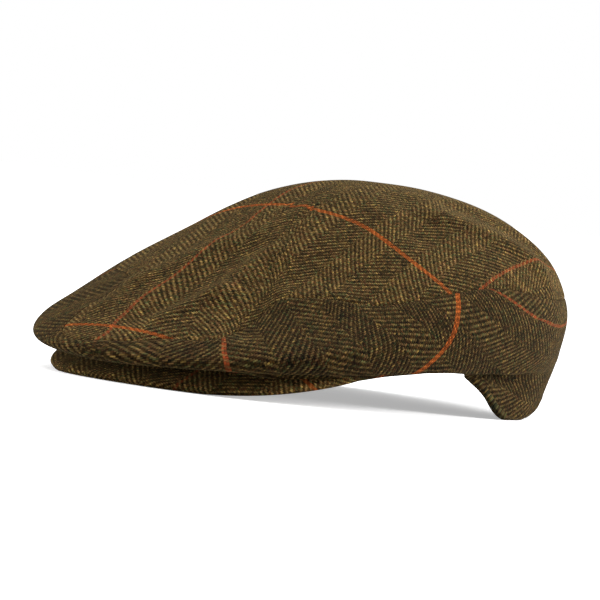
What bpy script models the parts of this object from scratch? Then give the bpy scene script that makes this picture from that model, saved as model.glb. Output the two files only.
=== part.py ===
"""Flat cap in tweed: a top panel, two side panels and a stiff peak, resting on a table.

The cap is laid out level, as it sits on a head, with the middle of the head opening at the
origin: the peak points to -Y, the wearer's left is +X and the lip over the ear is at z = 0.
It is then tipped forward until it rests on its peak and on the rim at the nape.
"""
import math

import bmesh
import bpy
import numpy as np
from mathutils import Vector

# The head opening, measured outside the cloth
HEAD_LENGTH = 0.207
HEAD_WIDTH = 0.176

# How far the crown reaches from the middle of the head opening, and its height over the ear lip
CROWN_FRONT = 0.150
CROWN_SIDE = 0.103
CROWN_BACK = 0.115
CROWN_RISE = 0.0645

# The rim is this far above the ear lip at the brow, and this far below it at the nape
BROW_RISE = 0.016
NAPE_DROP = 0.0360
NAPE_REACH = 0.115

# The peak: its width across the corners, where its corners are, its front edge and its arch
PEAK_WIDTH = 0.164
PEAK_CORNER = 0.048
PEAK_FRONT = 0.145
PEAK_ARCH = 0.005
PEAK_SQUARE = 2.15
PEAK_THICKNESS = 0.004
PEAK_ROUNDING = 0.0012

# Walls and clearances
CLOTH = 0.002
SEAM_GAP = 0.0008
PEAK_GAP = 0.0006

# How far the cloth and the peak's edge are flattened where they meet the table
REST_FLAT = 0.0006

# The skin of the crown runs through these rings, from the middle of the top to the front lip.
# front, side and back are shares of CROWN_FRONT, CROWN_SIDE and CROWN_BACK, square is the
# power of the plan outline (2 is an ellipse), and the heights are shares of CROWN_RISE.
RING_COLUMNS = ("name", "front", "side", "back", "square",
                "at_0", "at_30", "at_60", "at_90", "at_120", "at_150", "at_180")
RINGS = (
    ("middle",   0.00, 0.00, 0.00, 2.0, 1.000, 1.000, 1.000, 1.000, 1.000, 1.000, 1.000),
    ("crest",    0.34, 0.36, 0.36, 2.0, 0.770, 0.780, 0.850, 0.945, 0.995, 1.010, 1.005),
    ("brow",     0.66, 0.70, 0.70, 2.1, 0.478, 0.485, 0.560, 0.710, 0.805, 0.815, 0.800),
    ("shoulder", 0.90, 0.92, 0.91, 2.2, 0.315, 0.305, 0.340, 0.490, 0.535, 0.495, 0.460),
    ("bulge",    1.00, 1.00, 1.00, 2.2, 0.225, 0.205, 0.210, 0.240, 0.180, 0.130, 0.110),
    ("lip",      0.98, 0.95, 1.00, 2.2, 0.145, 0.130, 0.055, -0.040, -0.150, -0.150, -0.120),
)

# The rim round the head opening. Angles run from the front round to the back, in degrees.
# brow and nape are shares of BROW_RISE above the ear lip and of NAPE_DROP below it.
RIM_COLUMNS = ("angle", "brow", "nape")
RIM = (
    (0,   1.00, 0.00),
    (30,  0.90, 0.00),
    (60,  0.45, 0.00),
    (75,  0.06, 0.02),
    (90,  0.00, 0.34),
    (100, 0.00, 0.84),
    (110, 0.00, 0.99),
    (120, 0.00, 1.00),
    (145, 0.00, 0.94),
    (180, 0.00, 0.84),
)

# The fold under the lip: how far down from the lip to the rim it lies, and how far it is
# drawn in from the straight line between them, as a share of CROWN_SIDE.
TUCK_COLUMNS = ("angle", "way", "inset")
TUCK = (
    (0,   0.30, -0.02),
    (60,  0.40, 0.00),
    (90,  0.40, 0.03),
    (105, 0.30, 0.05),
    (130, 0.35, 0.00),
    (180, 0.40, 0.00),
)

# The seam between the top panel and the side panels, as a level on the skin: 2 is the brow
# ring, 3 the shoulder ring and 4 the bulge ring. Over the peak it slants: it is higher on the
# wearer's left than on the right.
SEAM_COLUMNS = ("angle", "level", "slant")
SEAM = (
    (0,   3.37, 1.5),
    (10,  3.32, 1.5),
    (25,  2.86, 0.0),
    (34,  2.05, 0.0),
    (42,  2.05, 0.0),
    (52,  2.18, 0.0),
    (66,  2.53, 0.0),
    (78,  2.74, 0.0),
    (90,  2.97, 0.0),
    (107, 3.55, 0.0),
    (120, 3.72, 0.0),
    (150, 3.82, 0.0),
    (180, 3.86, 0.0),
)

# Folds and dents in the crown, each along a straight line from one place to another.
# left and ahead are shares of CROWN_SIDE and CROWN_FRONT, rise is a share of CROWN_RISE and
# is negative for a dent, and half_width is a share of CROWN_SIDE.
FOLD_COLUMNS = ("name", "left", "ahead", "to_left", "to_ahead", "rise", "half_width")
FOLDS = (
    ("front hollow",      -0.04,  0.77,  0.01,  0.40, -0.040, 0.16),
    ("near ridge",         0.04,  0.77,  0.17,  0.61,  0.030, 0.12),
    ("near ridge, back",   0.17,  0.61,  0.18,  0.37,  0.030, 0.12),
    ("far ridge",         -0.33,  0.73, -0.34,  0.57,  0.025, 0.14),
    ("far ridge, back",   -0.34,  0.57, -0.17,  0.37,  0.025, 0.14),
    ("hollow at temple",   0.45,  0.73,  0.38,  0.58, -0.030, 0.12),
    ("seam ridge",         0.33,  0.60,  0.59,  0.43,  0.018, 0.14),
    ("side dent",          0.34, -0.10,  0.56,  0.01, -0.020, 0.14),
    ("back crease",        0.53, -0.13,  0.85, -0.31,  0.030, 0.10),
    ("back hollow",        0.44, -0.25,  0.73, -0.41, -0.030, 0.12),
)

# Heights of the peak's edge, from the middle of the front (0) to the corner (1), as shares
# of PEAK_ARCH
PEAK_EDGE_COLUMNS = ("way", "height")
PEAK_EDGE = (
    (0.00, 0.56),
    (0.28, 0.20),
    (0.55, -0.10),
    (0.80, 0.10),
    (1.00, 0.50),
)

# Levels of the bulge and of the rim on the skin, which has a fold between the lip and the rim
BULGE_LEVEL = [row[0] for row in RINGS].index("bulge")
RIM_LEVEL = len(RINGS) + 1

# How finely the pieces are divided
TOP_SQUARES = 24
SIDE_ROWS = 10
SIDE_ROWS_ABOVE = 4
PEAK_COLUMNS = 16
PEAK_ROWS = 5

# A small step for measuring slopes, in levels or radians
NUDGE = 0.01
TINY = 1e-9

# The cloth's colours and finish
TOP_COLOUR = (0.094, 0.060, 0.029)
SIDE_COLOUR = (0.080, 0.051, 0.024)
PEAK_COLOUR = (0.086, 0.056, 0.027)
TWEED_ROUGHNESS = 0.9

# The block that the table's flats are cut with
TABLE_SIZE = 0.6
TABLE_DEPTH = 0.05


def column(table, columns, name):
    """One named column of a table, as an array."""
    place = columns.index(name)
    return np.array([row[place] for row in table], float)


def smooth(at, stations, values):
    """A smooth curve through values at the given stations, level at both ends."""
    slopes = np.gradient(values, stations)
    slopes[0] = slopes[-1] = 0.0
    place = np.clip(np.searchsorted(stations, at, side="right") - 1, 0, len(stations) - 2)
    width = stations[place + 1] - stations[place]
    s = np.clip((at - stations[place]) / width, 0.0, 1.0)
    rise = values[place + 1] - values[place]
    start = slopes[place] * width
    end = slopes[place + 1] * width
    return values[place] + s * (start + s * (3 * rise - 2 * start - end + s * (start + end - 2 * rise)))


def turned(angle):
    """How far round from the front an angle in radians lies, from 0 to 180 degrees."""
    return np.degrees(np.arccos(np.clip(np.cos(angle), -1.0, 1.0)))


def around(table, columns, name, angle):
    """A column of a table with an angle column, read smoothly at angles in radians."""
    return smooth(turned(angle), column(table, columns, "angle"), column(table, columns, name))


def plan(front, side, back, square, angle):
    """A plan outline: its front and back halves meet at the sides, angle 0 is the front."""
    reach = np.where(np.cos(angle) > 0, front, back)
    x = side * np.sign(np.sin(angle)) * np.abs(np.sin(angle)) ** (2 / square)
    y = -reach * np.sign(np.cos(angle)) * np.abs(np.cos(angle)) ** (2 / square)
    return x, y


def ring(number, angle):
    """Points of one ring of the table."""
    row = RINGS[number]
    front, side, back, square = row[1:5]
    x, y = plan(front * CROWN_FRONT, side * CROWN_SIDE, back * CROWN_BACK, square, angle)
    heights = np.array(row[5:], float)
    z = CROWN_RISE * smooth(turned(angle), np.linspace(0, 180, len(heights)), heights)
    return np.stack([x, y, z], -1)


def rim(angle):
    """Points of the rim round the head opening."""
    x, y = plan(HEAD_LENGTH / 2, HEAD_WIDTH / 2, NAPE_REACH, 2.0, angle)
    z = BROW_RISE * around(RIM, RIM_COLUMNS, "brow", angle) - NAPE_DROP * around(RIM, RIM_COLUMNS, "nape", angle)
    return np.stack([x, y, z], -1)


def tuck(angle):
    """Points of the fold between the lip and the rim."""
    lip = ring(len(RINGS) - 1, angle)
    edge = rim(angle)
    way = around(TUCK, TUCK_COLUMNS, "way", angle)[..., None]
    inset = CROWN_SIDE * around(TUCK, TUCK_COLUMNS, "inset", angle)
    inward = np.stack([-np.sin(angle), np.cos(angle), np.zeros_like(angle)], -1)
    return lip + way * (edge - lip) + inset[..., None] * inward


def skin(angle, level):
    """A point of the crown's outer skin: level 0 is the middle of the top, RIM_LEVEL the rim."""
    angle, level = np.broadcast_arrays(np.asarray(angle, float), np.asarray(level, float))
    rows = [ring(1, angle + math.pi)] + [ring(k, angle) for k in range(len(RINGS))]
    rows += [tuck(angle), rim(angle)]
    rows += [2 * rows[-1] - rows[-2]]
    rows = np.stack(rows)
    place = np.clip(level.astype(int), 0, RIM_LEVEL - 1)
    s = (level - place)[..., None]
    before, start, end, after = (
        np.take_along_axis(rows, (place + k)[None, ..., None], 0)[0] for k in range(4))
    return 0.5 * (2 * start + s * (end - before + s * (2 * before - 5 * start + 4 * end - after
                                                       + s * (3 * (start - end) + after - before))))


def seam_level(angle):
    """The level of the seam between the top panel and the side panels."""
    slant = around(SEAM, SEAM_COLUMNS, "slant", angle) * np.sin(angle)
    return around(SEAM, SEAM_COLUMNS, "level", angle) - slant


def peak_edge(way):
    """Points of the peak's outer edge, way 0 at the middle of the front and 1 at the corner."""
    x, y = plan(PEAK_FRONT - PEAK_CORNER, PEAK_WIDTH / 2, 0.0, PEAK_SQUARE, way * math.pi / 2)
    z = PEAK_ARCH * smooth(way, column(PEAK_EDGE, PEAK_EDGE_COLUMNS, "way"),
                           column(PEAK_EDGE, PEAK_EDGE_COLUMNS, "height"))
    return np.stack([x, y - PEAK_CORNER, z], -1)


def fold_rise(points):
    """How far the folds and dents lift the skin at these points."""
    rise = np.zeros(points.shape[:-1])
    for row in FOLDS:
        fold = dict(zip(FOLD_COLUMNS, row))
        start = np.array([fold["left"] * CROWN_SIDE, -fold["ahead"] * CROWN_FRONT])
        run = np.array([fold["to_left"] * CROWN_SIDE, -fold["to_ahead"] * CROWN_FRONT]) - start
        along = np.clip((points[..., :2] - start) @ run / (run @ run), 0.0, 1.0)
        away = np.linalg.norm(points[..., :2] - start - along[..., None] * run, axis=-1)
        near = np.clip(1.0 - away / (fold["half_width"] * CROWN_SIDE), 0.0, 1.0)
        rise += fold["rise"] * CROWN_RISE * near * near * (3 - 2 * near)
    return rise


def cloth(angle, level):
    """A point of the skin with its folds and dents, which end above the bulge."""
    angle, level = np.broadcast_arrays(angle, level)
    points = skin(angle, level)
    round_it = skin(angle + NUDGE, level) - skin(angle - NUDGE, level)
    down_it = skin(angle, np.minimum(level + NUDGE, RIM_LEVEL)) - skin(angle, np.maximum(level - NUDGE, 0.0))
    normal = np.cross(down_it, round_it)
    length = np.linalg.norm(normal, axis=-1, keepdims=True)
    normal = np.where(length > TINY, normal / np.maximum(length, TINY), np.array([0.0, 0.0, 1.0]))
    rise = fold_rise(points) * np.clip(BULGE_LEVEL - level, 0.0, 1.0)
    return points + rise[..., None] * normal


def beside_seam(angle, aside):
    """The level that lies this far from the seam, towards the rim where aside is positive."""
    level = seam_level(angle)
    down_it = skin(angle, level + NUDGE) - skin(angle, level - NUDGE)
    along_it = skin(angle + NUDGE, seam_level(angle + NUDGE)) - skin(angle - NUDGE, seam_level(angle - NUDGE))
    reach = np.linalg.norm(np.cross(down_it, along_it), axis=-1) / np.linalg.norm(along_it, axis=-1)
    return level + aside * 2 * NUDGE / reach


def rounded(u, v):
    """A place in a square moved to a round: its angle from the front and its share of the radius."""
    x = u * np.sqrt(1 - v * v / 2)
    y = v * np.sqrt(1 - u * u / 2)
    return np.arctan2(x, -y), np.hypot(x, y)


def top_place(u, v):
    """The top panel: a square of faces rounded out to the seam."""
    angle, share = rounded(u, v)
    return cloth(angle, share * beside_seam(angle, -SEAM_GAP / 2))


def side_place(u, v, sign):
    """A side panel from the front join to the back one, and from the rim (v = -1) to the seam."""
    trip = 2 * (1 + sign * u)
    angle, share = rounded(np.minimum(np.minimum(trip, 1.0), 4.0 - trip), np.clip(trip - 2.0, -1.0, 1.0))
    seam = beside_seam(sign * angle, SEAM_GAP / 2)
    row = SIDE_ROWS * (1 - v) / 2
    above = seam + (BULGE_LEVEL - seam) * row / SIDE_ROWS_ABOVE
    below = BULGE_LEVEL + (RIM_LEVEL - BULGE_LEVEL) * (row - SIDE_ROWS_ABOVE) / (SIDE_ROWS - SIDE_ROWS_ABOVE)
    points = cloth(sign * angle, np.where(row < SIDE_ROWS_ABOVE, above, below))
    points[:, 0] = sign * np.maximum(np.abs(points[:, 0]), SEAM_GAP / 2)
    return points


def peak_place(u, v):
    """Half of the peak's upper face, from the middle to the left corner, and from edge to rim."""
    way = (1 + u) / 2
    inward = ((1 + v) / 2)[:, None]
    corner_angle = math.acos(PEAK_CORNER / (HEAD_LENGTH / 2))
    seat = rim(way * corner_angle) - np.array([0.0, 0.0, PEAK_GAP])
    return peak_edge(way) * (1 - inward) + seat * inward


# Building the objects

def clear_scene():
    """Start from an empty scene."""
    for thing in list(bpy.data.objects):
        bpy.data.objects.remove(thing, do_unlink=True)


def new_collection(name):
    """A collection in the scene."""
    group = bpy.data.collections.new(name)
    bpy.context.scene.collection.children.link(group)
    return group


def tweed(name, colour):
    """Woollen cloth of one plain colour."""
    material = bpy.data.materials.new(name)
    material.use_nodes = True
    shader = material.node_tree.nodes["Principled BSDF"]
    shader.inputs["Base Color"].default_value = (*colour, 1.0)
    shader.inputs["Roughness"].default_value = TWEED_ROUGHNESS
    shader.inputs["Metallic"].default_value = 0.0
    return material


def panel(name, across, along, place, material, group, stand):
    """A grid of across by along faces, its corners moved to place(u, v), u and v from -1 to 1."""
    shape = bmesh.new()
    bmesh.ops.create_grid(shape, x_segments=across, y_segments=along, size=1.0)
    flat = np.array([corner.co for corner in shape.verts])
    for corner, spot in zip(shape.verts, place(flat[:, 0], flat[:, 1])):
        corner.co = spot
    mesh = bpy.data.meshes.new(name)
    shape.to_mesh(mesh)
    shape.free()
    mesh.materials.append(material)
    mesh.shade_smooth()
    piece = bpy.data.objects.new(name, mesh)
    group.objects.link(piece)
    piece.parent = stand
    return piece


def thicken(piece, thickness):
    """Give an open surface its wall, behind its outer face."""
    wall = piece.modifiers.new("wall", "SOLIDIFY")
    wall.thickness = thickness
    wall.offset = -1.0


def make_peak(material, group, stand):
    """The stiff peak: half of its upper face, mirrored, thickened and rounded at the edge."""
    peak = panel("peak", PEAK_COLUMNS, PEAK_ROWS, peak_place, material, group, stand)
    mirror = peak.modifiers.new("other half", "MIRROR")
    mirror.merge_threshold = 0.0001
    thicken(peak, PEAK_THICKNESS)
    rounding = peak.modifiers.new("rounding", "BEVEL")
    rounding.width = PEAK_ROUNDING
    rounding.segments = 2
    rounding.angle_limit = math.radians(50)
    return peak


def corners(pieces):
    """Every corner of the finished pieces, where they stand in the world."""
    bpy.context.view_layer.update()
    graph = bpy.context.evaluated_depsgraph_get()
    clouds = []
    for piece in pieces:
        finished = piece.evaluated_get(graph)
        mesh = finished.to_mesh()
        clouds.extend(finished.matrix_world @ corner.co for corner in mesh.vertices)
        finished.to_mesh_clear()
    return np.array(clouds)


def table_slope(points):
    """The slope of the line, seen from the side, that touches the points in front and behind."""
    front = points[points[:, 1] < 0]
    back = points[points[:, 1] >= 0]
    slope = 0.0
    for _ in range(8):
        toe = front[np.argmin(front[:, 2] - slope * front[:, 1])]
        heel = back[np.argmin(back[:, 2] - slope * back[:, 1])]
        slope = (heel[2] - toe[2]) / (heel[1] - toe[1])
    return slope


def settle(stand, pieces):
    """Tip the cap forward until it rests on its peak and its nape, centred over the origin."""
    stand.rotation_euler.x = -math.atan(table_slope(corners(pieces)))
    points = corners(pieces)
    middle = (points.min(axis=0) + points.max(axis=0)) / 2
    stand.location = Vector((-middle[0], -middle[1], -points[:, 2].min() - REST_FLAT))


def flatten(pieces, group):
    """Cut the pieces off level where they would sink into the table."""
    shape = bmesh.new()
    bmesh.ops.create_cube(shape, size=1.0)
    bmesh.ops.scale(shape, vec=(TABLE_SIZE, TABLE_SIZE, TABLE_DEPTH), verts=shape.verts)
    mesh = bpy.data.meshes.new("table")
    shape.to_mesh(mesh)
    shape.free()
    table = bpy.data.objects.new("table", mesh)
    table.location.z = -TABLE_DEPTH / 2
    table.hide_render = True
    table.display_type = "WIRE"
    group.objects.link(table)
    for piece in pieces:
        flat = piece.modifiers.new("flat", "BOOLEAN")
        flat.operation = "DIFFERENCE"
        flat.solver = "EXACT"
        flat.object = table


def build():
    """The whole cap."""
    clear_scene()
    cap = new_collection("flat_cap")
    cutters = new_collection("cutters")
    stand = bpy.data.objects.new("stand", None)
    cap.objects.link(stand)

    crown_top = panel("crown_top", TOP_SQUARES, TOP_SQUARES, top_place,
                      tweed("tweed top", TOP_COLOUR), cap, stand)
    thicken(crown_top, CLOTH)
    sides = []
    for name, sign in (("side_left", 1), ("side_right", -1)):
        side = panel(name, 2 * TOP_SQUARES, SIDE_ROWS, lambda u, v: side_place(u, v, sign),
                     tweed("tweed " + name, SIDE_COLOUR), cap, stand)
        thicken(side, CLOTH)
        sides.append(side)
    peak = make_peak(tweed("tweed peak", PEAK_COLOUR), cap, stand)

    settle(stand, [crown_top, peak, *sides])
    flatten([peak, *sides], cutters)


build()
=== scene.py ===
# %% [markdown]
# # A tweed flat cap, dressed in Blender
# A flat cap is a soft crown of three cloth panels sewn over a stiff peak that is covered in the
# same cloth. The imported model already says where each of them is. This lesson puts finer cloth
# in its place: panels with turned seams and a turned hem, a herringbone that follows the way
# each panel was cut, and the flecks in its wool, all in plain studio light.

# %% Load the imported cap
import math
from functools import partial

import bmesh
import bpy
import numpy as np
from mathutils import Matrix, Vector, noise


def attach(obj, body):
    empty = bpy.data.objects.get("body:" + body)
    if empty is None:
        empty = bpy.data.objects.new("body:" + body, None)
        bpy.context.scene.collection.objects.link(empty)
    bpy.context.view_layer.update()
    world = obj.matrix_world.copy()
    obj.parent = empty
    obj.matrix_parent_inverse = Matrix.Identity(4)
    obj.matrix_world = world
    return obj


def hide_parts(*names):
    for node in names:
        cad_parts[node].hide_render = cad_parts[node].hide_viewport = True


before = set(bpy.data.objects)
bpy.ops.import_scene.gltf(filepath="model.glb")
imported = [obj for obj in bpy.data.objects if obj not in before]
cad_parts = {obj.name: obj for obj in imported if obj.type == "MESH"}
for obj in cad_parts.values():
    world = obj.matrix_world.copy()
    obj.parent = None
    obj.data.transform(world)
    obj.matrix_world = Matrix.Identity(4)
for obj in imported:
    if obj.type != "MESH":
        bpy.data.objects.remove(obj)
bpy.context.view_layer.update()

# %% [markdown]
# ## Sizes
# A cap is cut for a head, so its driving sizes are the head opening, how far the crown stands
# out over it and the peak. They are the same ones as in the solids, but for the cloth, which is
# drawn a little thinner here. The cap is laid out level, as worn: the peak points to -Y, the
# wearer's left is +X and the lip over the ear is at z = 0.

# %% Driving sizes
HEAD_LENGTH = 0.207
HEAD_WIDTH = 0.176
CROWN_FRONT = 0.150
CROWN_SIDE = 0.103
CROWN_BACK = 0.115
CROWN_RISE = 0.0645
BROW_RISE = 0.016
NAPE_DROP = 0.0360
NAPE_REACH = 0.115
PEAK_WIDTH = 0.164
PEAK_CORNER = 0.048
PEAK_FRONT = 0.145
PEAK_ARCH = 0.005
PEAK_SQUARE = 2.15
PEAK_THICKNESS = 0.004
PEAK_GAP = 0.0006
CLOTH = 0.0016
REST_FLAT = 0.0006

# %% [markdown]
# ## The form as tables
# A soft form is easiest to change when it is written as a few sections. The crown's skin runs
# through rings, from the middle of the top out to the bulge and down to the front lip. Each ring
# is an outline in plan with its height at seven angles round the cap, as shares of the driving
# sizes. The rim, the fold under the lip, the seam and the folds have tables of their own. Beside
# the peak the rim is drawn 2 or 3 mm higher than in the solids, where the soft lip is lifted.

# %% Tables of the form
def table(columns, *rows):
    """A table of numbers, read by the name of a column."""
    return dict(zip(columns, np.array(rows, float).T))


# Name, reach in front, at the side and behind, how square, and heights every 30 degrees.
RINGS = (
    ("middle",   0.00, 0.00, 0.00, 2.0, 1.000, 1.000, 1.000, 1.000, 1.000, 1.000, 1.000),
    ("crest",    0.34, 0.36, 0.36, 2.0, 0.770, 0.780, 0.850, 0.945, 0.995, 1.010, 1.005),
    ("brow",     0.66, 0.70, 0.70, 2.1, 0.478, 0.485, 0.560, 0.710, 0.805, 0.815, 0.800),
    ("shoulder", 0.90, 0.92, 0.91, 2.2, 0.315, 0.305, 0.340, 0.490, 0.535, 0.495, 0.460),
    ("bulge",    1.00, 1.00, 1.00, 2.2, 0.225, 0.205, 0.210, 0.240, 0.180, 0.130, 0.110),
    ("lip",      0.98, 0.95, 1.00, 2.2, 0.145, 0.130, 0.055, -0.040, -0.150, -0.150, -0.120),
)
RIM = table(
    ("angle", "brow", "nape"),
    (0,   1.00, 0.00),
    (30,  0.90, 0.00),
    (54,  0.60, 0.00),
    (65,  0.50, 0.00),
    (75,  0.15, 0.01),
    (90,  0.00, 0.34),
    (100, 0.00, 0.84),
    (110, 0.00, 0.99),
    (120, 0.00, 1.00),
    (145, 0.00, 0.94),
    (180, 0.00, 0.84),
)
TUCK = table(
    ("angle", "way", "inset"),
    (0,   0.30, -0.02),
    (60,  0.40, 0.00),
    (90,  0.40, 0.03),
    (105, 0.30, 0.05),
    (130, 0.35, 0.00),
    (180, 0.40, 0.00),
)
SEAM = table(
    ("angle", "level", "slant"),
    (0,   3.37, 1.5),
    (10,  3.32, 1.5),
    (25,  2.86, 0.0),
    (34,  2.05, 0.0),
    (42,  2.05, 0.0),
    (52,  2.18, 0.0),
    (66,  2.53, 0.0),
    (78,  2.74, 0.0),
    (90,  2.97, 0.0),
    (107, 3.55, 0.0),
    (120, 3.72, 0.0),
    (150, 3.82, 0.0),
    (180, 3.86, 0.0),
)
# Name, start to the left and ahead, end to the left and ahead, rise, and half width.
FOLDS = (
    ("front hollow",      -0.04,  0.77,  0.01,  0.40, -0.040, 0.16),
    ("near ridge",         0.04,  0.77,  0.17,  0.61,  0.030, 0.12),
    ("near ridge, back",   0.17,  0.61,  0.18,  0.37,  0.030, 0.12),
    ("far ridge",         -0.33,  0.73, -0.34,  0.57,  0.025, 0.14),
    ("far ridge, back",   -0.34,  0.57, -0.17,  0.37,  0.025, 0.14),
    ("hollow at temple",   0.45,  0.73,  0.38,  0.58, -0.030, 0.12),
    ("seam ridge",         0.33,  0.60,  0.59,  0.43,  0.018, 0.14),
    ("side dent",          0.34, -0.10,  0.56,  0.01, -0.020, 0.14),
    ("back crease",        0.53, -0.13,  0.85, -0.31,  0.030, 0.10),
    ("back hollow",        0.44, -0.25,  0.73, -0.41, -0.030, 0.12),
)
PEAK_EDGE = table(
    ("way", "height"),
    (0.00, 0.56),
    (0.28, 0.20),
    (0.55, -0.10),
    (0.80, 0.10),
    (1.00, 0.50),
)
BULGE_LEVEL = [row[0] for row in RINGS].index("bulge")
RIM_LEVEL = len(RINGS) + 1
print("rings:", len(RINGS), "folds:", len(FOLDS), "level of the rim:", RIM_LEVEL)

# %% [markdown]
# ## Reading a table smoothly
# Between two rows of a table the cap has to curve, not turn a corner. A cubic curve whose slope
# at each row comes from its neighbours does that, and it never needs more rows than the shape
# has. Angles are mirrored, so one half of a table serves both sides of the cap.

# %% Curves through a table
def between(first, second, leaving, arriving, s):
    """A cubic curve from one value to the next, s of the way on, with its slope at either end."""
    rise = second - first
    bend = 3 * rise - 2 * leaving - arriving
    return first + s * (leaving + s * (bend + s * (leaving + arriving - 2 * rise)))


def smooth(at, stations, values):
    """A smooth curve through values at the given stations, level at both ends."""
    slopes = np.gradient(values, stations)
    slopes[0] = slopes[-1] = 0.0
    place = np.clip(np.searchsorted(stations, at, side="right") - 1, 0, len(stations) - 2)
    width = stations[place + 1] - stations[place]
    s = np.clip((at - stations[place]) / width, 0.0, 1.0)
    return between(values[place], values[place + 1], slopes[place] * width, slopes[place + 1] * width, s)


def turned(angle):
    """How far round from the front an angle in radians lies, from 0 to 180 degrees."""
    return np.degrees(np.arccos(np.clip(np.cos(angle), -1.0, 1.0)))


def around(rows, name, angle):
    """A column of a table with an angle column, read smoothly at angles in radians."""
    return smooth(turned(angle), rows["angle"], rows[name])


def plan(front, side, back, square, angle):
    """A plan outline: its front and back halves meet at the sides, angle 0 is the front."""
    reach = np.where(np.cos(angle) > 0, front, back)
    x = side * np.sign(np.sin(angle)) * np.abs(np.sin(angle)) ** (2 / square)
    y = -reach * np.sign(np.cos(angle)) * np.abs(np.cos(angle)) ** (2 / square)
    return x, y


# %% [markdown]
# ## The bare skin of the crown
# The skin has two coordinates: the angle round the cap and a level, 0 in the middle of the top
# and 7 at the rim. A curve through four neighbouring rings gives any level between them. All
# three panels are cut from this one skin, so they meet without any fitting.

# %% Rings, rim and skin
def ring(number, angle):
    """Points of one ring of the table."""
    _, front, side, back, square, *heights = RINGS[number]
    x, y = plan(front * CROWN_FRONT, side * CROWN_SIDE, back * CROWN_BACK, square, angle)
    z = CROWN_RISE * smooth(turned(angle), np.linspace(0, 180, len(heights)), np.array(heights))
    return np.stack([x, y, z], -1)


def rim(angle):
    """Points of the rim round the head opening."""
    x, y = plan(HEAD_LENGTH / 2, HEAD_WIDTH / 2, NAPE_REACH, 2.0, angle)
    rise = BROW_RISE * around(RIM, "brow", angle)
    drop = NAPE_DROP * around(RIM, "nape", angle)
    return np.stack([x, y, rise - drop], -1)


def tuck(angle):
    """Points of the fold between the lip and the rim."""
    lip = ring(len(RINGS) - 1, angle)
    edge = rim(angle)
    way = around(TUCK, "way", angle)[..., None]
    inset = CROWN_SIDE * around(TUCK, "inset", angle)
    inward = np.stack([-np.sin(angle), np.cos(angle), np.zeros_like(angle)], -1)
    return lip + way * (edge - lip) + inset[..., None] * inward


def skin(angle, level):
    """A point of the crown's outer skin: level 0 is the middle of the top, RIM_LEVEL the rim."""
    angle, level = np.broadcast_arrays(np.asarray(angle, float), np.asarray(level, float))
    rows = [ring(1, angle + math.pi)] + [ring(k, angle) for k in range(len(RINGS))]
    rows += [tuck(angle), rim(angle)]
    rows += [2 * rows[-1] - rows[-2]]
    rows = np.stack(rows)
    place = np.clip(level.astype(int), 0, RIM_LEVEL - 1)
    s = (level - place)[..., None]
    before, start, end, after = (
        np.take_along_axis(rows, (place + k)[None, ..., None], 0)[0] for k in range(4))
    return between(start, end, (end - before) / 2, (after - start) / 2, s)


print("top of the skin:", skin(0.0, 0.0), "rim at the brow:", rim(np.array(0.0)))

# %% [markdown]
# ## Which way is out
# Folds, seams and small lumps all move the cloth along its normal, the direction that stands
# square to it. Two short steps on the skin, one down and one round, span it, and their cross
# product is the normal. In the very middle of the top a step round has no length, so there the
# normal is simply up.

# %% Normals of the skin
NUDGE = 0.01
TINY = 1e-9


def unit(vectors):
    """The same directions, each one metre long."""
    return vectors / np.maximum(np.linalg.norm(vectors, axis=-1, keepdims=True), TINY)


def outward(angle, level):
    """The direction that stands square to the skin."""
    round_it = skin(angle + NUDGE, level) - skin(angle - NUDGE, level)
    above = skin(angle, np.maximum(level - NUDGE, 0.0))
    below = skin(angle, np.minimum(level + NUDGE, RIM_LEVEL))
    normal = np.cross(below - above, round_it)
    found = np.linalg.norm(normal, axis=-1, keepdims=True) > TINY
    return np.where(found, unit(normal), np.array([0.0, 0.0, 1.0]))


# %% [markdown]
# ## Folds, dents and softness
# Wool cloth that isn't stretched over anything keeps a few soft folds. Each one here is a line
# on the plan with a rise to either side of it, negative for a dent. Under them lies a gentle
# unevenness, taken from Blender's noise, because even a brushed cap is never quite true.

# %% Folds
LUMP_SIZE = 0.035
LUMP_RISE = 0.0006


def fold_rise(points):
    """How far the folds and dents lift the skin at these points."""
    rise = np.zeros(points.shape[:-1])
    for _, left, ahead, to_left, to_ahead, lift, half_width in FOLDS:
        start = np.array([left * CROWN_SIDE, -ahead * CROWN_FRONT])
        run = np.array([to_left * CROWN_SIDE, -to_ahead * CROWN_FRONT]) - start
        along = np.clip((points[..., :2] - start) @ run / (run @ run), 0.0, 1.0)
        away = np.linalg.norm(points[..., :2] - start - along[..., None] * run, axis=-1)
        near = np.clip(1.0 - away / (half_width * CROWN_SIDE), 0.0, 1.0)
        rise += lift * CROWN_RISE * near * near * (3 - 2 * near)
    return rise


def lumps(points):
    """A gentle unevenness of the cloth at these points."""
    flat = points.reshape(-1, 3) / LUMP_SIZE
    rise = [noise.noise(Vector(spot)) for spot in flat]
    return LUMP_RISE * np.array(rise).reshape(points.shape[:-1])


# %% [markdown]
# ## The fold at the nape
# Behind the ear the crown's lower edge folds over the band of cloth that runs down to the nape.
# The lip stands out as a fine ridge and the cloth under it lies back in a hollow. Each has its
# own level on the skin and half width, and a table says how strong it is at each angle.

# %% Fold at the nape
NAPE_RIDGE = (5.40, 0.24)
NAPE_HOLLOW = (5.98, 0.46)
NAPE_FOLD = table(
    ("angle", "ridge", "hollow"),
    (0,   0.0000, 0.0000),
    (80,  0.0000, 0.0000),
    (88,  0.0014, 0.0060),
    (94,  0.0018, 0.0068),
    (101, 0.0015, 0.0042),
    (112, 0.0008, 0.0012),
    (130, 0.0000, 0.0000),
    (180, 0.0000, 0.0000),
)


def hump(at, middle, half_width):
    """A smooth hump, 1 in the middle and 0 from half a width on."""
    near = np.clip(1.0 - ((at - middle) / half_width) ** 2, 0.0, 1.0)
    return near * near


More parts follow.
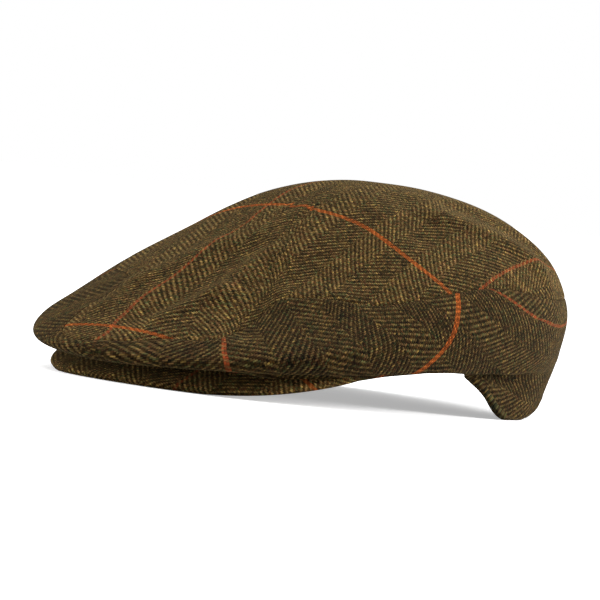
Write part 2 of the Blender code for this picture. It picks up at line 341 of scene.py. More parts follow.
def nape_fold(angle, level):
    """How far the fold at the nape lifts the skin."""
    ridge = around(NAPE_FOLD, "ridge", angle) * hump(level, *NAPE_RIDGE)
    return ridge - around(NAPE_FOLD, "hollow", angle) * hump(level, *NAPE_HOLLOW)


# %% [markdown]
# ## Seams
# Where two panels are sewn together both edges turn in, and the eye sees a fine valley with a
# soft shoulder on either side. The panels here end on the seam line, dip towards it and then
# turn down inside, where they all but touch, so no light comes through. The distance from the
# seam decides the dip.

# %% Seams
SEAM_GAP = 0.0002
GAP_INSIDE = 0.00002
SEAM_DIP = 0.0004
SEAM_SHOULDER = 0.0024
SEAM_SHARPNESS = 2.5
SEAM_TURN = 0.0025
JOIN_SHARE = 0.25


def seam_level(angle):
    """The level of the seam between the top panel and the side panels."""
    slant = around(SEAM, "slant", angle) * np.sin(angle)
    return around(SEAM, "level", angle) - slant


def seam_reach(angle):
    """How many metres of cloth, square to the seam, one level is there."""
    level = seam_level(angle)
    down_it = (skin(angle, level + NUDGE) - skin(angle, level - NUDGE)) / (2 * NUDGE)
    ahead, behind = (skin(angle + step, seam_level(angle + step)) for step in (NUDGE, -NUDGE))
    along_it = ahead - behind
    return np.linalg.norm(np.cross(down_it, along_it), axis=-1) / np.linalg.norm(along_it, axis=-1)


def dip(distance):
    """How deep the cloth lies at this distance from a seam."""
    near = np.clip(1.0 - distance / SEAM_SHOULDER, 0.0, 1.0)
    return SEAM_DIP * near ** SEAM_SHARPNESS


def cloth(angle, level):
    """A point of the crown's outer face with its folds, seams and unevenness, and its normal."""
    angle, level = np.broadcast_arrays(angle, level)
    points = skin(angle, level)
    normal = outward(angle, level)
    fading = np.clip(BULGE_LEVEL - level, 0.0, 1.0)
    from_seam = np.abs(level - seam_level(angle)) * seam_reach(angle)
    rise = fold_rise(points) * fading + nape_fold(angle, level) + lumps(points) - dip(from_seam)
    return points + rise[..., None] * normal, normal


# %% [markdown]
# ## A grid that becomes a panel
# Blender's own grid gives a clean sheet of four-sided faces. Its corners are then moved to their
# places on the cap. Every corner also gets a place on the bolt of cloth, in metres along the two
# thread directions, and a UV map carries it to the material. Solidify gives the sheet its wall,
# and no corner of that wall may lie below the table. Edges on the middle plane, where the two
# side panels are joined end to end, stay sharp, so that the wall's end doesn't darken the cloth.

# %% From grid to mesh
def sheet_mesh(name, points, threads):
    """A mesh with one corner for each place of a grid, and its map of the threads."""
    rows, columns = points.shape[:2]
    shape = bmesh.new()
    bmesh.ops.create_grid(shape, x_segments=columns - 1, y_segments=rows - 1, size=1.0)
    flat = np.array([corner.co for corner in shape.verts])
    across = np.rint((flat[:, 0] + 1) / 2 * (columns - 1)).astype(int)
    along = np.rint((flat[:, 1] + 1) / 2 * (rows - 1)).astype(int)
    for corner, spot in zip(shape.verts, points[along, across]):
        corner.co = spot
    mesh = bpy.data.meshes.new(name)
    shape.to_mesh(mesh)
    shape.free()
    corner_of = np.zeros(len(mesh.loops), np.int32)
    mesh.loops.foreach_get("vertex_index", corner_of)
    layer = mesh.uv_layers.new(name="threads")
    layer.data.foreach_set("uv", threads[along, across][corner_of].astype(np.float32).ravel())
    mesh.shade_smooth()
    return mesh


def add_object(name, data):
    """An object in the scene for a mesh, a light or a camera."""
    thing = bpy.data.objects.new(name, data)
    bpy.context.scene.collection.objects.link(thing)
    return thing


def new_piece(name, mesh, wall=0.0):
    """An object for a mesh, with a wall behind its outer face if it needs one."""
    piece = add_object(name, mesh)
    if wall:
        solid = piece.modifiers.new("wall", "SOLIDIFY")
        solid.thickness = wall
        solid.offset = -1.0
        bpy.context.view_layer.update()
        evaluated = piece.evaluated_get(bpy.context.evaluated_depsgraph_get())
        walled = bpy.data.meshes.new_from_object(evaluated)
        piece.modifiers.clear()
        piece.data = walled
        walled.name = name
        for corner in walled.vertices:
            corner.co.z = max(corner.co.z, 0.0)
        for edge in walled.edges:
            ends = [walled.vertices[end].co for end in edge.vertices]
            edge.use_edge_sharp = all(abs(end.x) < SEAM_GAP for end in ends)
    return piece


# %% [markdown]
# ## Laying a panel flat
# A weave only looks right if it follows the cut of the cloth, and a curved panel has no obvious
# flat shape. So the panel is laid flat the way a cutter would do it: every short distance on the
# cap is a spring, and the springs settle in the plane until each is nearly its own length again.
# What strain is left is what steam and a hat block do to real wool.

# %% Springs that lay a panel flat
PUSH = 1.6


def springs(rows, columns):
    """Pairs of neighbouring corners of a grid, along both sides and both diagonals."""
    number = np.arange(rows * columns).reshape(rows, columns)
    ends = ((number[:, :-1], number[:, 1:]), (number[:-1], number[1:]),
            (number[:-1, :-1], number[1:, 1:]), (number[1:, :-1], number[:-1, 1:]))
    return np.concatenate([np.stack([a.ravel(), b.ravel()], 1) for a, b in ends])


def laid_flat(points, start, steps):
    """Where each point of a curved grid lies once its springs have settled in the plane."""
    rows, columns = points.shape[:2]
    pair = springs(rows, columns)
    corners = points.reshape(-1, 3)
    rest = np.linalg.norm(corners[pair[:, 0]] - corners[pair[:, 1]], axis=1)
    count = np.bincount(pair.ravel(), minlength=rows * columns)
    at = start.reshape(-1, 2).copy()
    for _ in range(steps):
        run = at[pair[:, 1]] - at[pair[:, 0]]
        length = np.maximum(np.linalg.norm(run, axis=1), TINY)
        pull = (0.5 * (1 - rest / length))[:, None] * run
        move = np.stack([np.bincount(pair[:, 0], pull[:, k], minlength=len(at))
                         - np.bincount(pair[:, 1], pull[:, k], minlength=len(at)) for k in (0, 1)], 1)
        at += PUSH * move / count[:, None]
    strain = np.abs(np.linalg.norm(at[pair[:, 1]] - at[pair[:, 0]], axis=1) / rest - 1)
    print("laid flat with a mean strain of %.3f" % strain.mean())
    return at.reshape(rows, columns, 2)


def read_rows(rows, share):
    """Rows of values read smoothly between them, at shares from 0 to 1 of the way down."""
    at = share * (len(rows) - 1)
    place = np.clip(at.astype(int), 0, len(rows) - 2)
    s = (at - place)[:, None, None]
    slopes = np.gradient(rows, axis=0)
    return between(rows[place], rows[place + 1], slopes[place], slopes[place + 1], s)


def read_grid(values, across, along):
    """A grid of values read smoothly between its corners, at shares across and along it."""
    return read_rows(read_rows(values, along).swapaxes(0, 1), across).swapaxes(0, 1)


def outline_area(flat):
    """The area inside the outline of a flat grid."""
    edge = np.concatenate([flat[0], flat[1:, -1], flat[-1, -2::-1], flat[-2:0:-1, 0]])
    x, y = edge[:, 0], edge[:, 1]
    return abs(x @ np.roll(y, -1) - y @ np.roll(x, -1)) / 2


# %% [markdown]
# ## The top panel
# The top is one piece of cloth from above the peak to the back. A round grid would crowd its
# faces in the middle, so a square grid is rounded out instead. Its lines are gathered towards
# the seam, where the cloth turns in within a few millimetres, and its outermost ring is the edge
# that is turned down inside.

# %% Shape of the top panel
TOP_SQUARES = 176
TOP_STUDY = 40
TOP_SPREAD = 1.15
TOP_STEPS = 2500
GATHER = 1.5


def rounded(u, v):
    """A place in a square moved to a round: its angle from the front and its share of the radius."""
    x = u * np.sqrt(1 - v * v / 2)
    y = v * np.sqrt(1 - u * u / 2)
    return np.arctan2(x, -y), np.hypot(x, y)


def gathered(at):
    """Grid lines moved outwards, so that they lie close together at both ends."""
    return np.sign(at) * (1 - (1 - np.abs(at)) ** GATHER)


def top_place(u, v):
    """A point of the top panel and its normal, from a place in the square."""
    angle, share = rounded(u, v)
    edge = seam_level(angle) - SEAM_GAP / 2 / seam_reach(angle)
    return cloth(angle, share * edge)


def top_panel():
    """The outer face of the top panel as a grid, with its flat pattern."""
    even = np.linspace(-1, 1, TOP_STUDY + 1)
    study, _ = top_place(*np.meshgrid(even, even))
    flat = laid_flat(study, study[..., :2] * TOP_SPREAD, TOP_STEPS)
    line = np.linspace(-1, 1, TOP_SQUARES + 1) * TOP_SQUARES / (TOP_SQUARES - 2)
    line = gathered(np.clip(line, -1, 1))
    points, normal = top_place(*np.meshgrid(line, line))
    pattern = read_grid(flat, (line + 1) / 2, (line + 1) / 2)
    turn = np.ones(points.shape[:2], bool)
    turn[1:-1, 1:-1] = False
    points[turn] -= SEAM_TURN * normal[turn]
    pattern[turn] += SEAM_TURN * unit(pattern[turn])
    return points, pattern


top_points, top_pattern = top_panel()

# %% [markdown]
# ## The side panels
# Each side panel starts as a low strip over the peak, grows tall over the ear and runs on down to
# the nape. Its lower edge is turned up inside as a hem: the grid follows the outer face to the
# rim, goes round a small half circle and up again. The seam isn't quite the same on both sides,
# so each panel is laid flat by itself, the right one mirrored first.

# %% Shape of a side panel
SIDE_ROWS = 56
SIDE_SHARE_ABOVE = 0.4
SIDE_STUDY = (17, 97)
SIDE_BEND = 2.2
SIDE_STEPS = 5000
HEM_ROUND = CLOTH + 0.0002
HEM_ROWS = 8
HEM_DEPTH = 0.009
HEM_SHARES = (1.0, 0.6, 0.3)


def side_level(angle, down):
    """The level of the skin at a share of the way down a side panel, from the seam to the rim."""
    seam = seam_level(angle) + SEAM_GAP / 2 / seam_reach(angle)
    above = seam + (BULGE_LEVEL - seam) * down / SIDE_SHARE_ABOVE
    share = (down - SIDE_SHARE_ABOVE) / (1 - SIDE_SHARE_ABOVE)
    below = BULGE_LEVEL + (RIM_LEVEL - BULGE_LEVEL) * share
    return np.where(down < SIDE_SHARE_ABOVE, above, below)


def side_place(trip, down, sign):
    """A point of a side panel and its normal: trip runs from 0 at the front join to 4 at the back."""
    u = np.minimum(np.minimum(trip, 1.0), 4.0 - trip)
    angle, _ = rounded(u, np.clip(trip - 2.0, -1.0, 1.0))
    points, normal = cloth(sign * angle, side_level(sign * angle, down))
    points = points - JOIN_SHARE * dip(np.abs(points[..., 0]))[..., None] * normal
    points[..., 0] = sign * np.maximum(np.abs(points[..., 0]), GAP_INSIDE / 2)
    return points, normal


def bent_strip(study):
    """A first flat place for every point of a side panel: a strip bent in its own plane."""
    middle = study[len(study) // 2]
    run = np.concatenate([[0], np.cumsum(np.linalg.norm(np.diff(middle, axis=0), axis=1))])
    radius = run[-1] / SIDE_BEND
    turn = (run - run[-1] / 2) / radius
    height = np.linalg.norm(np.diff(study, axis=0), axis=-1)
    height = np.concatenate([np.zeros((1, len(run))), np.cumsum(height, 0)])
    height -= height[len(study) // 2]
    return np.stack([(radius + height) * np.sin(turn), (radius + height) * np.cos(turn)], -1)


def side_flat(sign):
    """The flat pattern of a side panel on a coarse grid, from the rim to the seam."""
    rows, columns = SIDE_STUDY
    trip, up = np.meshgrid(np.linspace(0, 4, columns), np.linspace(0, 1, rows))
    study, _ = side_place(trip, 1 - up, sign)
    return laid_flat(study, bent_strip(study), SIDE_STEPS)


def hemmed(points, normal, pattern):
    """A side panel with the turned hem added below its first row and the turned seam above."""
    along = unit(points[0] - points[1])
    along -= normal[0] * (along * normal[0]).sum(-1, keepdims=True)
    along = unit(along)
    away = unit(pattern[0] - pattern[1])
    start = points[0] - HEM_ROUND * along
    start_pattern = pattern[0] - HEM_ROUND * away
    centre = start - HEM_ROUND * normal[0]
    rows, flats = [], []
    for turn in np.linspace(math.pi, 0, HEM_ROWS + 1):
        rows.append(centre + HEM_ROUND * (normal[0] * math.cos(turn) + along * math.sin(turn)))
        flats.append(start_pattern + away * HEM_ROUND * turn)
    inner = [rows[0] - along * HEM_DEPTH * share for share in HEM_SHARES]
    inner_flats = [flats[0] + away * HEM_DEPTH * share for share in HEM_SHARES]
    to_seam = unit(points[-1] - points[-2])
    seam = points[-1] - SEAM_TURN * normal[-1] + (SEAM_GAP - GAP_INSIDE) * to_seam
    seam_flat = pattern[-1] + SEAM_TURN * unit(pattern[-1] - pattern[-2])
    return (np.stack([*inner, *rows, *points[1:], seam]),
            np.stack([*inner_flats, *flats, *pattern[1:], seam_flat]))


def side_panel(sign):
    """The outer face of one side panel as a grid, from its hem to its seam, and its pattern."""
    flat = side_flat(sign)
    share = np.linspace(0, 1, SIDE_ROWS + 1)
    high = np.where(share < SIDE_SHARE_ABOVE,
                    SIDE_SHARE_ABOVE * (share / SIDE_SHARE_ABOVE) ** GATHER, share)
    down = high[::-1]
    line = np.linspace(-1, 1, TOP_SQUARES - 1)
    half = len(line) // 2
    walk = gathered(line)
    trip = np.concatenate([walk[half:], 2 + walk[1:], 4 - walk[half:-1][::-1]])
    trips, downs = np.meshgrid(trip, down)
    points, normal = side_place(trips, downs, sign)
    pattern = read_grid(flat, trip / 4, 1 - down)
    points, pattern = hemmed(points, normal, pattern)
    if sign < 0:
        points, pattern = points[:, ::-1], pattern[:, ::-1] * (-1, 1)
    return points, pattern


left_points, left_pattern = side_panel(1)
right_points, right_pattern = side_panel(-1)
for name, pattern in (("left", left_pattern), ("right", right_pattern)):
    print(name, "side: cut from %.3f by %.3f m, area %.4f square metres"
          % (*np.ptp(pattern.reshape(-1, 2), axis=0), outline_area(pattern)))

# %% [markdown]
# ## The peak
# The peak is a stiff board in a cloth cover, sewn into the front of the crown. Its upper face is
# ruled from the seat under the crown to the outer edge. The cover goes round that edge in a half
# circle, where the upper and lower cloth meet in a seam. The section is walked once round and
# repeated across the width, and the two short ends are closed.

# %% Shape of the peak
PEAK_ACROSS = 220
PEAK_ROWS = 36
PEAK_ROUND_ROWS = 14
PEAK_SEAM_AT = 0.55
PEAK_SEAM_DIP = 0.0005
PEAK_SEAM_HALF = 0.08


def peak_edge(way):
    """Points of the peak's outer edge, way 0 at the middle of the front and 1 at the corner."""
    x, y = plan(PEAK_FRONT - PEAK_CORNER, PEAK_WIDTH / 2, 0.0, PEAK_SQUARE, way * math.pi / 2)
    z = PEAK_ARCH * smooth(way, PEAK_EDGE["way"], PEAK_EDGE["height"])
    return np.stack([x, y - PEAK_CORNER, z], -1)


def peak_cover():
    """The whole outer face of the peak as a grid, from the seat over the edge and back below."""
    across = np.linspace(-1, 1, PEAK_ACROSS + 1)
    mirror = np.stack([np.sign(across), np.ones_like(across), np.ones_like(across)], -1)
    edge = peak_edge(np.abs(across)) * mirror
    corner_angle = math.acos(PEAK_CORNER / (HEAD_LENGTH / 2))
    seat = rim(across * corner_angle) - np.array([0.0, 0.0, PEAK_GAP])
    radius = PEAK_THICKNESS / 2
    start = (radius / np.linalg.norm(seat - edge, axis=-1))[None, :, None]
    inward = 1 - (1 - start) * np.linspace(0, 1, PEAK_ROWS + 1)[:, None, None]
    upper = edge * (1 - inward) + seat * inward
    normal = unit(np.cross(np.gradient(upper, axis=1), np.gradient(upper, axis=0)))
    normal *= np.sign(normal[..., 2:])
    out = unit(upper[-1] - upper[-2])
    centre = upper[-1] - radius * normal[-1]
    turn = np.linspace(0, math.pi, PEAK_ROUND_ROWS + 1)[1:-1]
    groove = PEAK_SEAM_DIP * np.exp(-((turn / math.pi - PEAK_SEAM_AT) / PEAK_SEAM_HALF) ** 2)
    edge_rows = [centre + (radius - g) * (normal[-1] * math.cos(t) + out * math.sin(t))
                 for t, g in zip(turn, groove)]
    lower = (upper - PEAK_THICKNESS * normal)[::-1]
    flat = upper[..., :2]
    flat_out = unit(flat[-1] - flat[-2])
    edge_flat = [flat[-1] + flat_out * radius * t for t in turn]
    lower_flat = flat[::-1] + flat_out * radius * math.pi
    return (np.concatenate([upper, np.stack(edge_rows), lower, upper[:1]]),
            np.concatenate([flat, np.stack(edge_flat), lower_flat, flat[:1]]))


peak_points, peak_pattern = peak_cover()
print("peak:", peak_points.shape, "from", peak_points.min((0, 1)), "to", peak_points.max((0, 1)))

# %% [markdown]
# ## Setting the cap down
# As worn the cap is level. Put down on a table it tips forward until it stands on the edge of its
# peak and on the hem at the nape. The slope of the line that touches both is found from the
# points themselves, and the cap is turned by it and centred over the origin, as the solids are.

# %% Resting pose
SLOPE_TRIES = 8


def table_slope(points):
    """The slope of the line, seen from the side, that touches the points in front and behind."""
    front = points[points[:, 1] < 0]
    back = points[points[:, 1] >= 0]
    slope = 0.0
    for _ in range(SLOPE_TRIES):
        toe = front[np.argmin(front[:, 2] - slope * front[:, 1])]
        heel = back[np.argmin(back[:, 2] - slope * back[:, 1])]
        slope = (heel[2] - toe[2]) / (heel[1] - toe[1])
    return slope


every_point = np.concatenate([grid.reshape(-1, 3) for grid in
                              (top_points, left_points, right_points, peak_points)])
tip = -math.atan(table_slope(every_point))
tipped = np.array(Matrix.Rotation(tip, 3, "X"))
stood = every_point @ tipped.T
middle = (stood.min(0) + stood.max(0)) / 2
shift = np.array([-middle[0], -middle[1], -stood[:, 2].min() - REST_FLAT])


def set_down(points):
    """Points of the level cap, moved to where it rests, and pressed flat on the table."""
    rested = points @ tipped.T + shift
    rested[..., 2] = np.maximum(rested[..., 2], 0.0)
    return rested


print("tipped by %.2f degrees, moved by" % math.degrees(tip), shift)

# %% [markdown]
# ## Which way the threads run
# The crossed stripes of the check tell how each panel lay on the bolt. On the top the warp runs
# from front to back and fans out towards the back. It sways a little over the temple and twice
# near the front, where the cloth was eased in. The side panels were cut on the bias, so their warp
# comes down at a slant. Each map below turns a flat pattern into metres across the warp and along
# it, counted from a crossing of two stripes.

# %% Maps of the threads
TOP_LEAN = 0.08
TOP_SKEW = 0.03
TOP_FAN = 1.9
# Name, 0 across the flat panel or 1 along it, shift of the threads, its middle and its half width.
TOP_SWAYS = (
    ("temple", 0, -0.0045,  0.040, 0.018),
    ("front",  1, -0.0045, -0.146, 0.012),
    ("ridge",  1,  0.0027, -0.106, 0.015),
)
TOP_STRIPES = (-0.0212, -0.0192)
SIDE_MIDDLE = (-0.040, 0.165)
SIDE_ACROSS = (0.58, 0.72)
SIDE_ALONG = (-0.78, 0.50)
SIDE_FAN = 3.3
SIDE_STRIPES = (0.0569, -0.0079)
RIGHT_STRIPES_LATER = 0.055
PEAK_STRIPES = (0.033, -0.096)


def top_threads(flat):
    """Where the top panel's cloth lies on the bolt."""
    x, y = flat[..., 0], flat[..., 1]
    across = x + TOP_LEAN * y + TOP_FAN * x * y
    for _, axis, aside, centre, half_width in TOP_SWAYS:
        across = across + aside * np.exp(-((flat[..., axis] - centre) / half_width) ** 2)
    along = y + TOP_SKEW * x
    return np.stack([across, along], -1) - TOP_STRIPES


def side_threads(flat, sign):
    """Where a side panel's cloth lies on the bolt."""
    x = sign * flat[..., 0] - SIDE_MIDDLE[0]
    y = flat[..., 1] - SIDE_MIDDLE[1]
    across = SIDE_ACROSS[0] * x + SIDE_ACROSS[1] * y + SIDE_FAN * x * y
    along = SIDE_ALONG[0] * x + SIDE_ALONG[1] * y
    across = across - SIDE_STRIPES[0] + (RIGHT_STRIPES_LATER if sign < 0 else 0.0)
    return np.stack([across, sign * (along - SIDE_STRIPES[1])], -1)


# %% [markdown]
# ## The four pieces
# Each grid now becomes a mesh at its resting place. The crown's panels get a wall of cloth behind
# their outer face. The peak is closed as it is, once the corners of its seat have been merged and
# its two ends filled.

# %% Build the pieces
MERGE_WITHIN = 0.000001
SHARP_ANGLE = math.radians(50)

crown_top, side_left, side_right = (
    new_piece(name, sheet_mesh(name, set_down(points), threads), CLOTH)
    for name, points, threads in (
        ("crown_top_tweed", top_points, top_threads(top_pattern)),
        ("side_left_tweed", left_points, side_threads(left_pattern, 1)),
        ("side_right_tweed", right_points, side_threads(right_pattern, -1))))


def close_ends(mesh):
    """Merge the row that a section starts and ends with, and fill the two open ends."""
    shape = bmesh.new()
    shape.from_mesh(mesh)
    bmesh.ops.remove_doubles(shape, verts=shape.verts, dist=MERGE_WITHIN)
    open_edges = [edge for edge in shape.edges if edge.is_boundary]
    bmesh.ops.holes_fill(shape, edges=open_edges, sides=0)
    bmesh.ops.recalc_face_normals(shape, faces=shape.faces)
    shape.to_mesh(mesh)
    shape.free()
    mesh.shade_smooth()
    mesh.set_sharp_from_angle(angle=SHARP_ANGLE)


peak_mesh = sheet_mesh("peak_tweed", set_down(peak_points), peak_pattern - PEAK_STRIPES)
close_ends(peak_mesh)
peak = new_piece("peak_tweed", peak_mesh)
for piece in (crown_top, side_left, side_right, peak):
    print(piece.name, len(piece.data.polygons), "faces")

# %% [markdown]
# ## Wiring shaders by name
# A weave is arithmetic on the thread map, and arithmetic is easier to read as code than as a
# picture of fifty nodes. Small helpers add a node with its values, do one sum, scale or shift a
# vector, mix two colours and read a noise. The last one starts a node group with named sockets.

# %% Helpers for nodes
def fill(tree, inputs, values):
    """Set sockets to numbers, or link them to other nodes' outputs."""
    for key, value in values.items():
        if isinstance(value, bpy.types.NodeSocket):
            tree.links.new(value, inputs[key])
        else:
            inputs[key].default_value = value


def add_node(tree, kind, values=None, **settings):
    """A node with its settings made and its inputs filled."""
    node = tree.nodes.new(kind)
    for key, value in settings.items():
        setattr(node, key, value)
    fill(tree, node.inputs, values or {})
    return node


def sum_of(tree, operation, *values):
    """The result of one Math node."""
    return add_node(tree, "ShaderNodeMath", dict(enumerate(values)), operation=operation).outputs[0]


def vector_of(tree, operation, vector, other):
    """The result of one Vector Math node, which takes a scale in a socket of its own."""
    values = {0: vector, 3 if operation == "SCALE" else 1: other}
    return add_node(tree, "ShaderNodeVectorMath", values, operation=operation).outputs[0]


def mixed(tree, share, first, second):
    """Two colours mixed."""
    values = {0: share, 6: first, 7: second}
    return add_node(tree, "ShaderNodeMix", values, data_type="RGBA").outputs[2]


def noise_at(tree, place, size, detail, roughness):
    """The outputs of a noise: the size of its lumps in metres, its detail and its roughness."""
    return add_node(tree, "ShaderNodeTexNoise", {"Vector": place, "Scale": 1 / size, "Detail": detail,
                                                 "Roughness": roughness}).outputs


def new_group(name, inputs, outputs):
    """A node group: inputs with their values, None for a vector, and outputs with their kinds."""
    group = bpy.data.node_groups.new(name, "ShaderNodeTree")
    for label, value in inputs.items():
        kind = "Vector" if value is None else "Color" if isinstance(value, tuple) else "Float"
        socket = group.interface.new_socket(label, in_out="INPUT", socket_type="NodeSocket" + kind)
        if value is not None:
            socket.default_value = value
    for label, kind in outputs.items():
        group.interface.new_socket(label, in_out="OUTPUT", socket_type="NodeSocket" + kind)
    return group, group.nodes.new("NodeGroupInput").outputs, group.nodes.new("NodeGroupOutput").inputs


# %% [markdown]
# ## The herringbone
# In a two-and-two twill every warp end passes over two picks and under two, one pick later than
# its neighbour, which draws diagonal lines. A herringbone turns the diagonal round every twenty
# ends, and shifts it by two where it turns, so the lines meet broken and not in a point. The
# group counts ends and picks on the thread map and says which thread is on top. It gives the
# round relief of its float, a chance value for every crossing, and a place along each yarn, so
# that no two need to look alike.

# %% Herringbone group
END = 0.00075
PICK = 0.00078
ENDS_A_COLUMN = 20
TURN_SHIFT = 2
THREADS_OVER = 2
YARN_ROUND = 2.0
FLOAT_ROUND = 2.6
YARN_APART = 0.05


def make_herringbone():
    """The weave: which thread is on top, its relief, its number and the place along it."""
    group, given, out = new_group(
        "Herringbone",
        {"Threads": None, "End": END, "Pick": PICK, "Ends a Column": ENDS_A_COLUMN},
        {"Warp on Top": "Float", "Relief": "Float", "Turned Back": "Float", "Speckle": "Float",
         "End Number": "Float", "Pick Number": "Float", "Warp Yarn": "Vector", "Weft Yarn": "Vector"})
    do = partial(sum_of, group)
    place = add_node(group, "ShaderNodeSeparateXYZ", {0: given["Threads"]}).outputs
    ends = do("DIVIDE", place["X"], given["End"])
    picks = do("DIVIDE", place["Y"], given["Pick"])
    end = do("FLOOR", ends)
    pick = do("FLOOR", picks)
    in_end = do("SUBTRACT", ends, end)
    in_pick = do("SUBTRACT", picks, pick)
    moved = do("ADD", end, TURN_SHIFT)
    number = do("FLOOR", do("DIVIDE", moved, given["Ends a Column"]))
    in_column = do("SUBTRACT", moved, do("MULTIPLY", number, given["Ends a Column"]))
    turned_back = do("FLOORED_MODULO", number, 2.0)
    backwards = do("SUBTRACT", do("ADD", given["Ends a Column"], 1.0), in_column)
    change = do("MULTIPLY", turned_back, do("SUBTRACT", backwards, in_column))
    step = do("ADD", in_column, change)
    phase = do("FLOORED_MODULO", do("ADD", step, pick), 2 * THREADS_OVER)
    warp_up = do("LESS_THAN", phase, THREADS_OVER - 0.5)
    warp_way = do("DIVIDE", do("ADD", phase, in_pick), THREADS_OVER)
    flipped = do("ABSOLUTE", do("SUBTRACT", turned_back, in_end))
    weft_way = do("DIVIDE", do("ADD", do("SUBTRACT", phase, THREADS_OVER), flipped), THREADS_OVER)

    def bow(share, power):
        """High in the middle of a width, low at its edges."""
        off = do("ABSOLUTE", do("MULTIPLY_ADD", share, 2.0, -1.0))
        return do("SUBTRACT", 1.0, do("POWER", off, power))

    def yarn(along, thread, layer):
        """A place along a yarn that lies far from every other yarn."""
        values = {"X": along, "Y": do("MULTIPLY", thread, YARN_APART), "Z": layer}
        return add_node(group, "ShaderNodeCombineXYZ", values).outputs[0]

    warp_relief = do("MULTIPLY", bow(in_end, YARN_ROUND), bow(warp_way, FLOAT_ROUND))
    weft_relief = do("MULTIPLY", bow(in_pick, YARN_ROUND), bow(weft_way, FLOAT_ROUND))
    gain = do("SUBTRACT", warp_relief, weft_relief)
    crossing = add_node(group, "ShaderNodeCombineXYZ", {"X": end, "Y": pick}).outputs[0]
    chance = add_node(group, "ShaderNodeTexWhiteNoise", {"Vector": crossing}, noise_dimensions="2D")
    fill(group, out, {
        "Warp on Top": warp_up,
        "Relief": do("MULTIPLY_ADD", warp_up, gain, weft_relief),
        "Turned Back": turned_back,
        "Speckle": chance.outputs["Value"],
        "End Number": end,
        "Pick Number": pick,
        "Warp Yarn": yarn(place["Y"], end, 0.0),
        "Weft Yarn": yarn(place["X"], pick, 1.0),
    })
    return group


herringbone = make_herringbone()
print(herringbone.name, len(herringbone.nodes), "nodes")

# %% [markdown]
# ## The check over it
# Every eight columns two ends are dyed red, and as far apart the other way three picks are
# orange. A coloured thread shows fully only where it is on top, so its stripe is drawn in dashes,
# but the cloth is brushed and some of the coloured wool spreads over the threads that cross it.
# The group counts threads, so a stripe always starts and stops with a whole one.

# %% Overcheck group
REPEAT_ENDS = 160
REPEAT_PICKS = 154
STRIPE_ENDS = 2
STRIPE_PICKS = 3
SPREAD = 0.55


def make_overcheck():
    """How much of the red ends and of the orange picks shows."""
    group, given, out = new_group(
        "Overcheck",
        {"End Number": 0.0, "Pick Number": 0.0, "Warp on Top": 0.0,
         "Repeat Ends": REPEAT_ENDS, "Repeat Picks": REPEAT_PICKS,
         "Stripe Ends": STRIPE_ENDS, "Stripe Picks": STRIPE_PICKS, "Spread": SPREAD},
        {"Red Ends": "Float", "Orange Picks": "Float"})
    do = partial(sum_of, group)

    def stripe(number, repeat, width):
        """1 on the threads of a stripe, which lies round number 0 of each repeat."""
        middle = do("ADD", number, do("FLOOR", do("DIVIDE", width, 2.0)))
        return do("LESS_THAN", do("FLOORED_MODULO", middle, repeat), do("SUBTRACT", width, 0.5))

    ends = stripe(given["End Number"], given["Repeat Ends"], given["Stripe Ends"])
    picks = stripe(given["Pick Number"], given["Repeat Picks"], given["Stripe Picks"])
    hidden = do("SUBTRACT", 1.0, given["Spread"])
    weft_shows = do("SUBTRACT", 1.0, do("MULTIPLY", given["Warp on Top"], hidden))
    warp_shows = do("MULTIPLY_ADD", given["Warp on Top"], hidden, given["Spread"])
    fill(group, out, {"Red Ends": do("MULTIPLY", ends, warp_shows),
                      "Orange Picks": do("MULTIPLY", picks, weft_shows)})
    return group


overcheck = make_overcheck()
print(overcheck.name, len(overcheck.nodes), "nodes")

# %% [markdown]
# ## Yarn of mixed wool
# Tweed yarn is spun from fleece that was dyed in several colours first, so each thread is flecked
# with mustard, moss green and rust. The group takes a place along a yarn, where every thread lies
# far from its neighbours, and breaks a plain yarn colour up with flecks that run along it. A
# finer noise makes it lighter where it is thick and darker where it is thin.

# %% Mixed wool group
DARK_WOOL = {
    "Yarn":    (0.024, 0.0118, 0.002),
    "Mustard": (0.052, 0.030, 0.008),
    "Moss":    (0.013, 0.019, 0.005),
    "Rust":    (0.042, 0.015, 0.005),
}
LIGHT_WOOL = {
    "Yarn":    (0.086, 0.054, 0.0185),
    "Mustard": (0.172, 0.108, 0.028),
    "Moss":    (0.054, 0.060, 0.021),
    "Rust":    (0.096, 0.046, 0.018),
}
FLECK_NOISE = (0.0036, 2.0, 0.6)
FLECK_EDGES = (0.50, 0.66)
SLUB_NOISE = (0.0015, 2.0, 0.7)
SLUB_GAIN = 6.0
THINNEST = 0.12


def toned(wool, painted_light):
    """The colours of a wool as shader colours, made lighter or darker by a factor of painted light or
    shade.
    """
    return {name: (*(painted_light * part for part in colour), 1.0) for name, colour in wool.items()}


def make_mixed_wool():
    """A yarn colour broken up by flecks of three other colours."""
    group, given, out = new_group(
        "Mixed Wool",
        {"Yarn Place": None, **toned(LIGHT_WOOL, 1.0), "Flecks": 0.9, "Unevenness": 0.8},
        {"Color": "Color"})
    do = partial(sum_of, group)
    flecks = noise_at(group, given["Yarn Place"], *FLECK_NOISE)["Color"]
    chance = add_node(group, "ShaderNodeSeparateColor", {0: flecks}).outputs
    colour = given["Yarn"]
    for channel, fleck in zip(chance, ("Mustard", "Moss", "Rust")):
        share = add_node(group, "ShaderNodeMapRange", {"Value": channel, "From Min": FLECK_EDGES[0],
                                                       "From Max": FLECK_EDGES[1]}).outputs[0]
        colour = mixed(group, do("MULTIPLY", share, given["Flecks"]), colour, given[fleck])
    slubs = noise_at(group, given["Yarn Place"], *SLUB_NOISE)["Fac"]
    off = do("MULTIPLY_ADD", slubs, SLUB_GAIN, -SLUB_GAIN / 2)
    light = do("MAXIMUM", do("MULTIPLY_ADD", off, given["Unevenness"], 1.0), THINNEST)
    fill(group, out, {"Color": vector_of(group, "SCALE", colour, light)})
    return group


